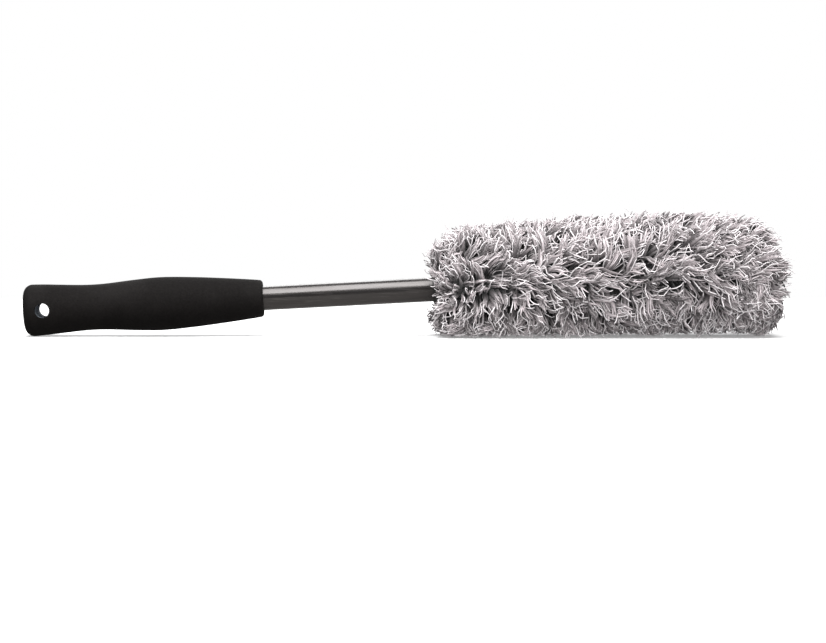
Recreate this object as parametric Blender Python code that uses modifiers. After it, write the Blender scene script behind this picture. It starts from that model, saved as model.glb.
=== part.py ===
"""Microfibre wheel brush: foam grip, dark tube and a long-pile head over a padded core.

The brush is modelled as it lies on a level surface, +X towards the head's tip and +Z up.
Every piece hangs on one empty, the brush's own axis: its +Z runs from the grip's rear
face to the tip, its +X points down, and stations along it start at that rear face.
"""

import math

import bmesh
import bpy

# Whole brush
LENGTH = 0.380
LIE_ANGLE = math.radians(3.0)      # it leans back on the grip's rear edge
GAP = 0.0003                       # clearance between pieces that touch
LARGE_STEPS = 36                   # facets round the grip and the head
SMALL_STEPS = 32                   # facets round the shaft and the core

# Grip: (station, radius) along its turned side
GRIP_LENGTH = 0.1195
GRIP_REAR = (0.0080, 0.0129)
GRIP_WAIST = (0.0330, 0.0114)
GRIP_BELLY = (0.0690, 0.0131)
GRIP_TAPER = (0.0940, 0.0117)
GRIP_FRONT_RADIUS = 0.0096
GRIP_REAR_ROUNDING = 0.0046
GRIP_FRONT_ROUNDING = 0.0018
HANG_HOLE_RADIUS = 0.0036
HANG_HOLE_STATION = 0.0098

# Shaft
TUBE_RADIUS = 0.0060
TUBE_WALL = 0.0010
TUBE_START = 0.0200
TUBE_END = 0.2380
PLUG_DEPTH = 0.0070
PLUG_FLANGE = 0.0012

# Head: the sewn cover and the oval pile that stands on it
COVER_START = 0.2119
COVER_END = 0.3673
COVER_RADIUS = 0.0176
CLOTH = 0.0010
THREAD_RADIUS = 0.0003
HEAD_START = 0.2030
PILE_HALF_HEIGHT = 0.0323
PILE_HALF_DEPTH = 0.0350
PILE_SAG = 0.0018                  # the pile hangs this far below the brush's axis
NECK_TOP_POWER = 4.6               # how square the pile's ends are: above at the neck,
TIP_TOP_POWER = 2.8                # above at the tip,
BOTTOM_POWER = 9.0                 # and below at both ends
PILE_RINGS = 26

# Core and padding inside the cover
CORE_START = 0.2135
CORE_RADIUS = 0.0080
ROD_RADIUS = 0.0045
ROD_END = 0.3580
SOCKET_WEB = 0.0020                # solid web behind the tube's socket
DISC_COUNT = 5
RIB_THICKNESS = 0.0020             # of the discs and the long ribs
PIN_RADIUS = 0.0015
PIN_STATION = 0.2240
TIP_CAP_RADIUS = 0.0100
TIP_CAP_START = 0.3500
TIP_CAP_END = 0.3620
TIP_CAP_ROUNDING = 0.0040
NECK_PAD = 0.0025

# Collar where the shaft enters the head, and the tie that closes the cover on it
COLLAR_START = 0.2012
COLLAR_LIP_RADIUS = 0.0067
COLLAR_CONE_END = 0.2060
COLLAR_RADIUS = 0.0082
COLLAR_END = 0.2132
GROOVE_STATION = 0.2085
GROOVE_WIDTH = 0.0020
GROOVE_DEPTH = 0.0009
TIE_RADIUS = 0.0006


def clear_scene():
    for item in list(bpy.data.objects):
        bpy.data.objects.remove(item, do_unlink=True)


def new_collection(name):
    collection = bpy.data.collections.new(name)
    bpy.context.scene.collection.children.link(collection)
    return collection


def finish(name, colour, roughness, metallic=0.0):
    """A plain Principled material."""
    material = bpy.data.materials.new(name)
    material.use_nodes = True
    shader = material.node_tree.nodes["Principled BSDF"]
    shader.inputs["Base Color"].default_value = (*colour, 1.0)
    shader.inputs["Roughness"].default_value = roughness
    shader.inputs["Metallic"].default_value = metallic
    return material


# Shapes about the brush's axis

def arc(radius, station, rounding, start, end, count):
    """(radius, station) points of a rounded edge; 0 degrees faces out, 90 the tip."""
    points = []
    for step in range(count + 1):
        angle = math.radians(start + (end - start) * step / count)
        points.append((radius + rounding * math.cos(angle),
                       station + rounding * math.sin(angle)))
    return points


def flowing_side(knots, spans):
    """Catmull-Rom curve through (station, radius) knots, each span in short steps."""
    ends = [knots[0], *knots, knots[-1]]
    points = []
    for index in range(1, len(ends) - 2):
        before, first, second, after = ends[index - 1:index + 3]
        for step in range(spans):
            t = step / spans
            points.append(tuple(
                0.5 * (2 * b + (c - a) * t + (2 * a - 5 * b + 4 * c - d) * t ** 2
                       + (3 * b - a - 3 * c + d) * t ** 3)
                for a, b, c, d in zip(before, first, second, after)))
    points.append(knots[-1])
    return points


def place(item, collection, material, parent):
    """Gives a piece its collection, material and parent."""
    for other in list(item.users_collection):
        other.objects.unlink(item)
    collection.objects.link(item)
    item.parent = parent
    if material:
        item.data.materials.append(material)
    if collection == cutters:
        item.hide_render = True
        item.display_type = "WIRE"
    return item


def turned(name, profile, closed, steps, collection, material, parent):
    """A piece turned about the axis. Its (radius, station) profile runs down the outer
    side, from the tip to the rear; a closed one comes back up the bore."""
    count = len(profile)
    edges = [(index, index + 1) for index in range(count - 1)]
    if closed:
        edges.append((count - 1, 0))
    mesh = bpy.data.meshes.new(name)
    mesh.from_pydata([(radius, 0.0, station) for radius, station in profile], edges, [])
    item = bpy.data.objects.new(name, mesh)
    screw = item.modifiers.new("Turn", "SCREW")
    screw.steps = steps
    screw.render_steps = steps
    screw.use_merge_vertices = True
    screw.merge_threshold = 0.00001
    return place(item, collection, material, parent)


def ring(name, start, end, inner, outer, material, steps=LARGE_STEPS, collection=None):
    """A sleeve or washer between two stations."""
    profile = [(outer, end), (outer, start), (inner, start), (inner, end)]
    return turned(name, profile, True, steps, collection or parts, material, axis)


def disc(name, start, end, radius, material, collection=None):
    """A solid round piece between two stations."""
    profile = [(0.0, end), (radius, end), (radius, start), (0.0, start)]
    return turned(name, profile, False, LARGE_STEPS, collection or parts, material, axis)


def cross_rod(name, station, radius, length, material, collection=None):
    """A round rod through the brush from side to side."""
    bpy.ops.mesh.primitive_cylinder_add(vertices=SMALL_STEPS, radius=radius, depth=length)
    item = bpy.context.object
    item.name = name
    item.rotation_euler.x = math.pi / 2
    item.location.z = station
    return place(item, collection or parts, material, axis)


def box(name, size, centre, collection, material, parent):
    bpy.ops.mesh.primitive_cube_add(size=1.0)
    item = bpy.context.object
    item.name = name
    for vertex in item.data.vertices:
        vertex.co = [value * side for value, side in zip(vertex.co, size)]
    item.location = centre
    return place(item, collection, material, parent)


def thread_ring(name, station, radius, thickness, material):
    """A loop of thread or cord about the axis."""
    bpy.ops.mesh.primitive_torus_add(major_radius=radius, minor_radius=thickness,
                                     major_segments=SMALL_STEPS, minor_segments=6)
    item = bpy.context.object
    item.name = name
    item.location.z = station
    return place(item, parts, material, axis)


def combine(item, other, operation):
    modifier = item.modifiers.new(operation.title(), "BOOLEAN")
    modifier.operation = operation
    modifier.object = other


def smooth_round_pieces():
    for item in parts.objects:
        item.data.shade_smooth()
        item.data.set_sharp_from_angle(angle=math.radians(35))


# Grip and shaft

def make_grip():
    """Closed-cell foam: rounded ends, a waist, a belly, a blind bore and a hang hole."""
    front_rim = GRIP_LENGTH - GRIP_FRONT_ROUNDING
    side = flowing_side((GRIP_REAR, GRIP_WAIST, GRIP_BELLY, GRIP_TAPER,
                         (front_rim, GRIP_FRONT_RADIUS)), 5)
    bore = TUBE_RADIUS + GAP
    bore_end = TUBE_START - PLUG_FLANGE - GAP
    profile = [(0.0, bore_end), (bore, bore_end), (bore, GRIP_LENGTH)]
    profile += arc(GRIP_FRONT_RADIUS - GRIP_FRONT_ROUNDING, front_rim,
                   GRIP_FRONT_ROUNDING, 90, 0, 4)
    profile += [(radius, station) for station, radius in reversed(side[:-1])]
    profile += arc(GRIP_REAR[1] - GRIP_REAR_ROUNDING, GRIP_REAR_ROUNDING,
                   GRIP_REAR_ROUNDING, 0, -90, 7)
    profile.append((0.0, 0.0))
    grip = turned("grip_sleeve", profile, False, LARGE_STEPS, parts,
                  finish("grip_foam", (0.021, 0.020, 0.020), 0.85), axis)
    hole = cross_rod("hang_hole", HANG_HOLE_STATION, HANG_HOLE_RADIUS,
                     4 * GRIP_REAR[1], None, cutters)
    combine(grip, hole, "DIFFERENCE")


def make_shaft():
    """The tube, the plug in its rear end and the pin that locks it in the core."""
    tube = ring("shaft_tube", TUBE_START, TUBE_END, TUBE_RADIUS - TUBE_WALL, TUBE_RADIUS,
                finish("shaft_gloss", (0.020, 0.020, 0.022), 0.18, 0.6), SMALL_STEPS)
    combine(tube, pin_hole, "DIFFERENCE")
    plug = TUBE_RADIUS - TUBE_WALL - GAP
    flange = TUBE_START - GAP
    profile = [(0.0, TUBE_START + PLUG_DEPTH), (plug, TUBE_START + PLUG_DEPTH),
               (plug, flange), (TUBE_RADIUS, flange),
               (TUBE_RADIUS, TUBE_START - PLUG_FLANGE), (0.0, TUBE_START - PLUG_FLANGE)]
    turned("tube_end_plug", profile, False, SMALL_STEPS, parts,
           finish("black_plastic", (0.015, 0.015, 0.015), 0.5), axis)
    cross_rod("shaft_pin", PIN_STATION, PIN_RADIUS, 2 * (CORE_RADIUS - GAP),
              finish("pin_steel", (0.55, 0.55, 0.55), 0.35, 1.0))


def make_collar():
    """The ferrule at the neck, and the tie that draws the cover into its groove."""
    groove_low = GROOVE_STATION - GROOVE_WIDTH / 2
    groove_high = GROOVE_STATION + GROOVE_WIDTH / 2
    groove = COLLAR_RADIUS - GROOVE_DEPTH
    bore = TUBE_RADIUS + GAP
    profile = [(COLLAR_RADIUS, COLLAR_END), (COLLAR_RADIUS, groove_high),
               (groove, groove_high), (groove, groove_low), (COLLAR_RADIUS, groove_low),
               (COLLAR_RADIUS, COLLAR_CONE_END), (COLLAR_LIP_RADIUS, COLLAR_START),
               (bore, COLLAR_START), (bore, COLLAR_END)]
    turned("neck_collar", profile, True, SMALL_STEPS, parts,
           finish("collar_rubber", (0.018, 0.017, 0.017), 0.6), axis)
    thread_ring("neck_tie", GROOVE_STATION, groove + GAP + TIE_RADIUS, TIE_RADIUS,
                finish("tie_cord", (0.05, 0.05, 0.05), 0.7))


# Inside the head

def make_core():
    """Moulded spindle: a socket for the tube, then a rod with long ribs and discs."""
    plastic = finish("core_plastic", (0.035, 0.035, 0.037), 0.5)
    socket_blind = TUBE_END + GAP
    socket_end = socket_blind + SOCKET_WEB
    rib_end = TIP_CAP_START - GAP
    pitch = (rib_end - socket_end) / (DISC_COUNT + 0.5)
    profile = [(0.0, ROD_END), (ROD_RADIUS, ROD_END)]
    for index in range(DISC_COUNT, 0, -1):
        centre = socket_end + index * pitch
        high = centre + RIB_THICKNESS / 2
        low = centre - RIB_THICKNESS / 2
        profile += [(ROD_RADIUS, high), (CORE_RADIUS, high), (CORE_RADIUS, low),
                    (ROD_RADIUS, low)]
    bore = TUBE_RADIUS + GAP
    profile += [(ROD_RADIUS, socket_end), (CORE_RADIUS, socket_end),
                (CORE_RADIUS, CORE_START), (bore, CORE_START), (bore, socket_blind),
                (0.0, socket_blind)]
    core = turned("core_spindle", profile, False, SMALL_STEPS, parts, plastic, axis)
    width = 2 * CORE_RADIUS - GAP
    rib_start = socket_end - SOCKET_WEB / 2
    length = rib_end - rib_start
    centre = (0.0, 0.0, (rib_end + rib_start) / 2)
    upright = box("upright_rib", (width, RIB_THICKNESS, length), centre, cutters, None, axis)
    level = box("level_rib", (RIB_THICKNESS, width, length), centre, cutters, None, axis)
    combine(core, upright, "UNION")
    combine(core, level, "UNION")
    combine(core, pin_hole, "DIFFERENCE")


def make_padding():
    """Rubber cap on the rod's end, the foam sleeve and the pads behind the end panels."""
    socket = ROD_RADIUS + GAP
    blind = ROD_END + GAP
    profile = [(0.0, TIP_CAP_END)]
    profile += arc(TIP_CAP_RADIUS - TIP_CAP_ROUNDING, TIP_CAP_END - TIP_CAP_ROUNDING,
                   TIP_CAP_ROUNDING, 90, 0, 5)
    profile += [(TIP_CAP_RADIUS, TIP_CAP_START), (socket, TIP_CAP_START), (socket, blind),
                (0.0, blind)]
    turned("core_tip_cap", profile, False, SMALL_STEPS, parts,
           finish("cap_rubber", (0.03, 0.03, 0.03), 0.8), axis)

    soft = finish("padding_foam", (0.55, 0.55, 0.53), 0.95)
    outer = COVER_RADIUS - CLOTH - GAP
    bore = CORE_RADIUS + GAP
    counterbore = TIP_CAP_RADIUS + GAP
    pad_start = COVER_START + CLOTH + GAP
    foam_start = pad_start + NECK_PAD + GAP
    profile = [(outer, TIP_CAP_END), (outer, foam_start), (bore, foam_start),
               (bore, TIP_CAP_START - GAP), (counterbore, TIP_CAP_START - GAP),
               (counterbore, TIP_CAP_END)]
    turned("foam_sleeve", profile, True, LARGE_STEPS, parts, soft, axis)
    ring("neck_pad", pad_start, pad_start + NECK_PAD, COLLAR_RADIUS + 2 * GAP, outer, soft)
    disc("tip_pad", TIP_CAP_END + GAP, COVER_END - CLOTH - GAP, outer, soft)


def make_cover():
    """The cover's backing cloth, a sleeve and two end panels, and its sewn seams."""
    backing = finish("backing_cloth", (0.12, 0.12, 0.12), 0.95)
    ring("neck_backing", COVER_START, COVER_START + CLOTH, COLLAR_RADIUS + GAP,
         COVER_RADIUS, backing)
    ring("body_backing", COVER_START + CLOTH + GAP, COVER_END - CLOTH - GAP,
         COVER_RADIUS - CLOTH, COVER_RADIUS, backing)
    disc("tip_backing", COVER_END - CLOTH, COVER_END, COVER_RADIUS, backing)

    thread = finish("seam_thread", (0.30, 0.30, 0.30), 0.8)
    seam_radius = COVER_RADIUS + GAP + THREAD_RADIUS
    thread_ring("neck_seam", COVER_START + CLOTH / 2, seam_radius, THREAD_RADIUS, thread)
    thread_ring("tip_seam", COVER_END - CLOTH / 2, seam_radius, THREAD_RADIUS, thread)
    start = COVER_START + CLOTH + GAP
    end = COVER_END - CLOTH - GAP
    bpy.ops.mesh.primitive_cylinder_add(vertices=6, radius=THREAD_RADIUS, depth=end - start)
    seam = bpy.context.object
    seam.name = "body_seam"
    seam.location = (seam_radius, 0.0, (start + end) / 2)
    place(seam, parts, thread, axis)


def pile_form():
    """The outside of the pile: an oval cylinder with its ends rounder above than below."""
    half_length = (LENGTH - HEAD_START) / 2
    middle = (LENGTH + HEAD_START) / 2
    form = bmesh.new()
    bmesh.ops.create_uvsphere(form, u_segments=LARGE_STEPS, v_segments=PILE_RINGS,
                              radius=1.0)
    for vertex in form.verts:
        down, side, along = vertex.co
        spread = math.hypot(down, side)
        below = 0.5 + 0.5 * down / spread if spread > 1e-6 else 0.5
        top_power = TIP_TOP_POWER if along > 0 else NECK_TOP_POWER
        power = top_power + (BOTTOM_POWER - top_power) * below
        swell = spread ** (2 / power - 1) if spread > 1e-6 else 0.0
        reach = math.copysign(abs(along) ** (2 / power), along)
        vertex.co = (PILE_SAG + PILE_HALF_HEIGHT * swell * down,
                     PILE_HALF_DEPTH * swell * side,
                     middle + half_length * reach)
    return form


def pile_section(name, start, end, bore, material):
    """The pile between two stations, clear of what it is sewn to and flat underneath."""
    mesh = bpy.data.meshes.new(name)
    form = pile_form()
    form.to_mesh(mesh)
    form.free()
    section = place(bpy.data.objects.new(name, mesh), parts, material, axis)
    slab_radius = 2 * PILE_HALF_DEPTH
    if bore:
        slab = ring(f"{name}_slab", start, end, bore, slab_radius, None,
                    collection=cutters)
    else:
        slab = disc(f"{name}_slab", start, end, slab_radius, None, cutters)
    combine(section, slab, "INTERSECT")
    combine(section, floor, "DIFFERENCE")


def make_pile():
    pile = finish("pile_microfibre", (0.30, 0.285, 0.285), 0.9)
    beyond = 0.01
    hole = COLLAR_RADIUS - GROOVE_DEPTH + 2 * GAP + 2 * TIE_RADIUS
    pile_section("neck_pile", HEAD_START - beyond, COVER_START - GAP, hole, pile)
    pile_section("body_pile", COVER_START, COVER_END,
                 COVER_RADIUS + 2 * GAP + 2 * THREAD_RADIUS, pile)
    pile_section("tip_pile", COVER_END + GAP, LENGTH + beyond, None, pile)


def resting_height():
    """Height of the axis at the grip's rear face when the rear edge touches the floor."""
    inner = GRIP_REAR[1] - GRIP_REAR_ROUNDING
    lowest = inner * math.cos(LIE_ANGLE) - GRIP_REAR_ROUNDING * math.sin(LIE_ANGLE)
    return lowest + GRIP_REAR_ROUNDING


def centre_on_origin():
    """Slides the brush along X until its box is centred on the origin."""
    bpy.context.view_layer.update()
    graph = bpy.context.evaluated_depsgraph_get()
    across = []
    for item in parts.objects:
        solid = item.evaluated_get(graph)
        across += [(solid.matrix_world @ vertex.co).x for vertex in solid.data.vertices]
    axis.location.x -= (min(across) + max(across)) / 2


clear_scene()
parts = new_collection("wheel_brush")
cutters = new_collection("cutters")

axis = bpy.data.objects.new("brush_axis", None)
bpy.context.scene.collection.objects.link(axis)
axis.rotation_euler.y = math.pi / 2 - LIE_ANGLE
axis.location.z = resting_height()

floor = box("floor_below", (4 * LENGTH, LENGTH, LENGTH), (0.0, 0.0, -LENGTH / 2),
            cutters, None, None)
pin_hole = cross_rod("pin_hole", PIN_STATION, PIN_RADIUS + GAP, 4 * CORE_RADIUS, None,
                     cutters)
make_grip()
make_shaft()
make_collar()
make_core()
make_padding()
make_cover()
make_pile()
smooth_round_pieces()
centre_on_origin()
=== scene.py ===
import math

import bmesh
import bpy
from mathutils import Matrix, Vector


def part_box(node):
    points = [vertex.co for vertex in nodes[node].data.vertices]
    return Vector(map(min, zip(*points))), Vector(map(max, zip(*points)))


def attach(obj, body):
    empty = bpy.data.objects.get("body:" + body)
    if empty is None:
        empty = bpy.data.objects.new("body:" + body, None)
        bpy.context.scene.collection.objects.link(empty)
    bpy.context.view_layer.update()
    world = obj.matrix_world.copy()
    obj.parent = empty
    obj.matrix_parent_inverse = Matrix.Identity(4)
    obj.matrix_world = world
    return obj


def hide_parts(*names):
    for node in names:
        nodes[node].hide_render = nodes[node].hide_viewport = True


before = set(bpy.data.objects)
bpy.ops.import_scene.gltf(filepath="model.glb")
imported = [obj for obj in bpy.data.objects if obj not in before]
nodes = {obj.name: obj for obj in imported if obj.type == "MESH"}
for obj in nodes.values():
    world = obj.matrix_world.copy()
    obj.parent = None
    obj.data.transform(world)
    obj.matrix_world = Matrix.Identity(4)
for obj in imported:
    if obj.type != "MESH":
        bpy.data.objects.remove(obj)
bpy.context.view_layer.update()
print("stage: frame loaded,", len(nodes), "CAD nodes")


class Wire:
    # an output socket, with arithmetic that adds Math or Vector Math nodes
    def __init__(self, net, socket):
        self.net = net
        self.socket = socket

    def __add__(self, other):
        return self.net.maths("ADD", self, other)

    def __radd__(self, other):
        return self.net.maths("ADD", other, self)

    def __sub__(self, other):
        return self.net.maths("SUBTRACT", self, other)

    def __rsub__(self, other):
        return self.net.maths("SUBTRACT", other, self)

    def __mul__(self, other):
        return self.net.maths("MULTIPLY", self, other)

    def __rmul__(self, other):
        return self.net.maths("MULTIPLY", other, self)

    def __truediv__(self, other):
        return self.net.maths("DIVIDE", self, other)

    def __rtruediv__(self, other):
        return self.net.maths("DIVIDE", other, self)

    def __pow__(self, other):
        return self.net.maths("POWER", self, other)

    def __rpow__(self, other):
        return self.net.maths("POWER", other, self)


def isVector(value):
    if isinstance(value, Wire):
        return value.socket.type in ("VECTOR", "RGBA")
    return isinstance(value, (tuple, Vector))


def named(sockets, name):
    # a node may have several sockets of one name, and only one of them is in use
    found = [socket for socket in sockets if socket.name == name]
    return next((socket for socket in found if socket.enabled), found[0])


class Net:
    # a node tree being written; a colour is given as three numbers
    def __init__(self, tree):
        self.tree = tree

    def plug(self, socket, value):
        if isinstance(value, Wire):
            self.tree.links.new(value.socket, socket)
        elif socket.type == "RGBA":
            socket.default_value = (*value, 1.0)
        else:
            socket.default_value = value

    def node(self, kind, settings=None, **sockets):
        # settings come first, because they choose which sockets are in use
        made = self.tree.nodes.new(kind)
        for name, value in (settings or {}).items():
            setattr(made, name, value)
        for name, value in sockets.items():
            self.plug(named(made.inputs, name.replace("_", " ")), value)
        return made

    def add(self, kind, settings=None, out=0, **sockets):
        made = self.node(kind, settings, **sockets)
        found = made.outputs[out] if isinstance(out, int) else named(made.outputs, out)
        return Wire(self, found)

    def maths(self, operation, *values):
        # a Math node, or Vector Math where one of the values is a vector
        vectors = [isVector(value) for value in values]
        if operation == "MULTIPLY" and any(vectors) and not all(vectors):
            vector, number = values if vectors[0] else values[::-1]
            return self.add("ShaderNodeVectorMath", {"operation": "SCALE"},
                            Vector=vector, Scale=number)
        made = self.node("ShaderNodeVectorMath" if any(vectors) else "ShaderNodeMath",
                         {"operation": operation})
        for socket, value in zip(made.inputs, values):
            self.plug(socket, value)
        isNumber = operation in ("DOT_PRODUCT", "LENGTH") or not any(vectors)
        return Wire(self, made.outputs["Value" if isNumber else "Vector"])

    def blend(self, share, first, second, kind="RGBA"):
        start, out = {"VECTOR": (4, 1), "RGBA": (6, 2)}[kind]
        made = self.node("ShaderNodeMix", {"data_type": kind})
        self.plug(made.inputs[0], share)
        self.plug(made.inputs[start], first)
        self.plug(made.inputs[start + 1], second)
        return Wire(self, made.outputs[out])

    def spread(self, value, low, high, newLow=0.0, newHigh=1.0):
        # a value's place between low and high, kept within them
        return self.add("ShaderNodeMapRange", {"clamp": True}, Value=value,
                        From_Min=low, From_Max=high, To_Min=newLow, To_Max=newHigh)

    def parts(self, vector):
        split = self.node("ShaderNodeSeparateXYZ", Vector=vector)
        return [Wire(self, socket) for socket in split.outputs]


def middle(node):
    low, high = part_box(node)
    return (low + high) / 2


axisWay = (middle("tip_pad") - middle("neck_pad")).normalized()
sideWay = Vector((0.0, 1.0, 0.0))
downWay = sideWay.cross(axisWay)
tubeMiddle = middle("shaft_tube")


def span(node):
    # a node's first and last place along the axis, measured from the tube's middle
    places = [(vertex.co - tubeMiddle).dot(axisWay) for vertex in nodes[node].data.vertices]
    return min(places), max(places)


gripEnd = tubeMiddle + axisWay * span("grip_sleeve")[0]
brush = Matrix((downWay, sideWay, axisWay)).transposed().to_4x4()
brush.translation = gripEnd    # +X down, +Z along the brush, from the grip's rear face


def station(node):
    offset = span("grip_sleeve")[0]
    first, last = span(node)
    return first - offset, last - offset


def radiusOf(node):
    # how far a turned node reaches from the axis
    inward = brush.inverted()
    return max(math.hypot(*(inward @ vertex.co).xy) for vertex in nodes[node].data.vertices)


def newObject(name, data):
    made = bpy.data.objects.new(name, data)
    bpy.context.scene.collection.objects.link(made)
    return made


def smoothed(piece, angle=40.0):
    piece.data.shade_smooth()
    piece.data.set_sharp_from_angle(angle=math.radians(angle))
    return piece


def onAxis(name, form):
    # a shape drawn along +Z becomes a piece lying along the brush
    bmesh.ops.recalc_face_normals(form, faces=form.faces)
    form.transform(brush)
    mesh = bpy.data.meshes.new(name)
    form.to_mesh(mesh)
    form.free()
    return smoothed(newObject(name, mesh))


def turned(name, profile, closed=False, steps=96):
    # spins (radius, station) points about the brush's axis
    form = bmesh.new()
    spots = [form.verts.new((radius, 0.0, along)) for radius, along in profile]
    pairs = list(zip(spots, spots[1:]))
    if closed:
        pairs.append((spots[-1], spots[0]))
    edges = [form.edges.new(pair) for pair in pairs]
    bmesh.ops.spin(form, geom=spots + edges, cent=(0, 0, 0), axis=(0, 0, 1),
                   angle=2 * math.pi, steps=steps, use_duplicate=False)
    bmesh.ops.remove_doubles(form, verts=form.verts, dist=1e-6)
    return onAxis(name, form)


def arcPoints(radius, along, rounding, start, end, count):
    # a rounded edge; 0 degrees faces outwards and 90 the tip
    points = []
    for step in range(count + 1):
        angle = math.radians(start + (end - start) * step / count)
        points.append((radius + rounding * math.cos(angle), along + rounding * math.sin(angle)))
    return points


def softEdged(points, rounding, count=4):
    # rounds the corners of a closed (radius, station) outline
    rounded = []
    for index, point in enumerate(points):
        here = Vector(point)
        before = Vector(points[index - 1]) - here
        after = Vector(points[(index + 1) % len(points)]) - here
        cut = min(rounding, before.length * 0.45, after.length * 0.45)
        first = here + before.normalized() * cut
        last = here + after.normalized() * cut
        for step in range(count + 1):
            t = step / count
            spot = first * (1 - t) ** 2 + here * 2 * t * (1 - t) + last * t ** 2
            rounded.append(tuple(spot))
    return rounded


def flowThrough(knots, place):
    # smooth value at a place between (place, value) knots
    if place <= knots[0][0]:
        return knots[0][1]
    for (start, low), (end, high) in zip(knots, knots[1:]):
        if place <= end:
            t = (place - start) / (end - start)
            return low + (high - low) * t * t * (3 - 2 * t)
    return knots[-1][1]


def settled(piece, slot, *replaced):
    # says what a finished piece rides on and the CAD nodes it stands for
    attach(piece, "root")
    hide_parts(*replaced)


def dressed(piece, material):
    piece.data.materials.clear()
    piece.data.materials.append(material)


def newMaterial(name, **constants):
    # a Principled material, its net and the place on the piece; the sockets named
    # here stay the same all over it
    material = bpy.data.materials.new(name)
    material.use_nodes = True
    net = Net(material.node_tree)
    looks(net, **constants)
    return material, net, net.add("ShaderNodeTexCoord", out="Object")


def looks(net, **values):
    shader = net.tree.nodes["Principled BSDF"]
    for socket, value in values.items():
        net.plug(shader.inputs[socket.replace("_", " ")], value)


def grain(net, spot, scale, detail=4.0):
    return net.add("ShaderNodeTexNoise", Vector=spot, Scale=scale, Detail=detail, Roughness=0.55)


def cellsOf(net, spot, scale):
    return net.add("ShaderNodeTexVoronoi", out="Distance", Vector=spot, Scale=scale)


def bumpOf(net, height, depth):
    return net.add("ShaderNodeBump", out="Normal", Height=height, Distance=depth)


gripFinish = {
    "shade": (0.0070, 0.0062, 0.0060), "worn": (0.0130, 0.0116, 0.0112),
    # cut: the hang hole's wall, the cut foam's paler face with painted light on it
    "pit": (0.006, 0.006, 0.006), "cut": (0.20, 0.22, 0.25), "roughness": 0.90,
    "cellScale": 1500.0, "pitScale": 420.0, "rubScale": 38.0, "speckleScale": 900.0,
    "dentScale": 260.0, "cellDepth": 0.00009,
    "cutEdge": (0.0002, 0.0004),    # past the hole's radius, where the cut foam ends
    "wallLightDepth": (0.0060, 0.0115),   # from the middle of the grip, where it darkens
}


def foamSkin():
    # closed-cell foam: fine cells, a few open pits, a little lighter where it is rubbed
    # and grey where the hang hole is cut: the cut face's paler foam with painted light on it
    material, net, spot = newMaterial("gripFoam", Specular_IOR_Level=0.12)
    cells = cellsOf(net, spot, gripFinish["cellScale"])
    openPits = net.spread(cellsOf(net, spot, gripFinish["pitScale"]), 0.06, 0.16)
    rubbed = net.spread(grain(net, spot, gripFinish["rubScale"], 5.0), 0.46, 0.72)
    speckle = net.spread(grain(net, spot, gripFinish["speckleScale"], 2.0), 0.35, 0.70)
    tone = net.blend(rubbed * 0.55 + speckle * 0.35, gripFinish["shade"], gripFinish["worn"])
    tone = net.blend(openPits, gripFinish["pit"], tone)
    # the hang hole's wall: the cut foam's paler face with painted light on it, strongest deep in
    # the hole and fading to dark towards the grip's surface
    centre = brush @ Vector((0.0, 0.0, gripForm["holeStation"]))
    fromCentre = net.maths("LENGTH", (spot - tuple(centre)) * (1.0, 0.0, 1.0))
    deep = net.maths("ABSOLUTE", net.parts(spot)[1])
    edgeStart, edgeEnd = (gripForm["holeRadius"] + past for past in gripFinish["cutEdge"])
    cut = net.spread(fromCentre, edgeStart, edgeEnd, 1.0, 0.0)
    cut = cut * net.spread(deep, *gripFinish["wallLightDepth"], 1.0, 0.0)
    tone = net.blend(cut * (0.5 + cells * 8.0), tone, gripFinish["cut"])
    dents = grain(net, spot, gripFinish["dentScale"])
    height = cells * 0.6 + openPits * 0.5 + dents * 0.8
    looks(net, Base_Color=tone,
          Roughness=gripFinish["roughness"] - rubbed * 0.12 - speckle * 0.05,
          Normal=bumpOf(net, height, gripFinish["cellDepth"]))
    return material


shaftFinish = {
    "shade": (0.062, 0.057, 0.056), "scuffed": (0.150, 0.138, 0.130),
    "metallic": 0.85, "roughness": 0.27, "coat": 0.70,
    "stretch": (18.0, 260.0, 260.0),    # drawn out along the tube
    "scuffScale": 4.0, "streakScale": 1.6, "dustScale": 1400.0,
    "peelScale": 240.0, "peelDepth": 0.00003,
}


def shaftGloss():
    # dark lacquer on the tube: a faint orange peel, fine scuffs along it
    material, net, spot = newMaterial("shaftLacquer", Coat_Roughness=0.12, Coat_IOR=1.5,
                                      Specular_IOR_Level=0.6)
    along = net.add("ShaderNodeMapping", Vector=spot, Scale=shaftFinish["stretch"],
                    Rotation=(0.0, math.asin(axisWay.z), 0.0))
    scuffs = net.spread(grain(net, along, shaftFinish["scuffScale"], 6.0), 0.56, 0.80)
    dust = net.spread(grain(net, spot, shaftFinish["dustScale"], 2.0), 0.66, 0.80)
    streaks = net.spread(grain(net, along, shaftFinish["streakScale"], 5.0), 0.35, 0.68)
    peel = grain(net, spot, shaftFinish["peelScale"], 2.0)
    looks(net, Base_Color=net.blend(scuffs * 0.5 + dust * 0.4, shaftFinish["shade"],
                                    shaftFinish["scuffed"]),
          Metallic=shaftFinish["metallic"] - scuffs * 0.3,
          Roughness=shaftFinish["roughness"] + scuffs * 0.12 + dust * 0.1 + streaks * 0.10,
          Coat_Weight=shaftFinish["coat"] - dust * 0.3 - streaks * 0.45,
          Normal=bumpOf(net, peel, shaftFinish["peelDepth"]))
    return material


mouldedFinish = {"cloudScale": 60.0, "sparkScale": 1100.0, "sparkDepth": 0.00003}
mouldedKinds = {
    # shade, lighter shade, roughness
    "collarRubber": ((0.012, 0.012, 0.012), (0.028, 0.027, 0.027), 0.62),
    "corePlastic": ((0.022, 0.022, 0.023), (0.050, 0.050, 0.052), 0.42),
    "capRubber": ((0.016, 0.016, 0.016), (0.034, 0.033, 0.033), 0.74),
    "plugPlastic": ((0.010, 0.010, 0.010), (0.024, 0.024, 0.025), 0.46),
}


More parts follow.
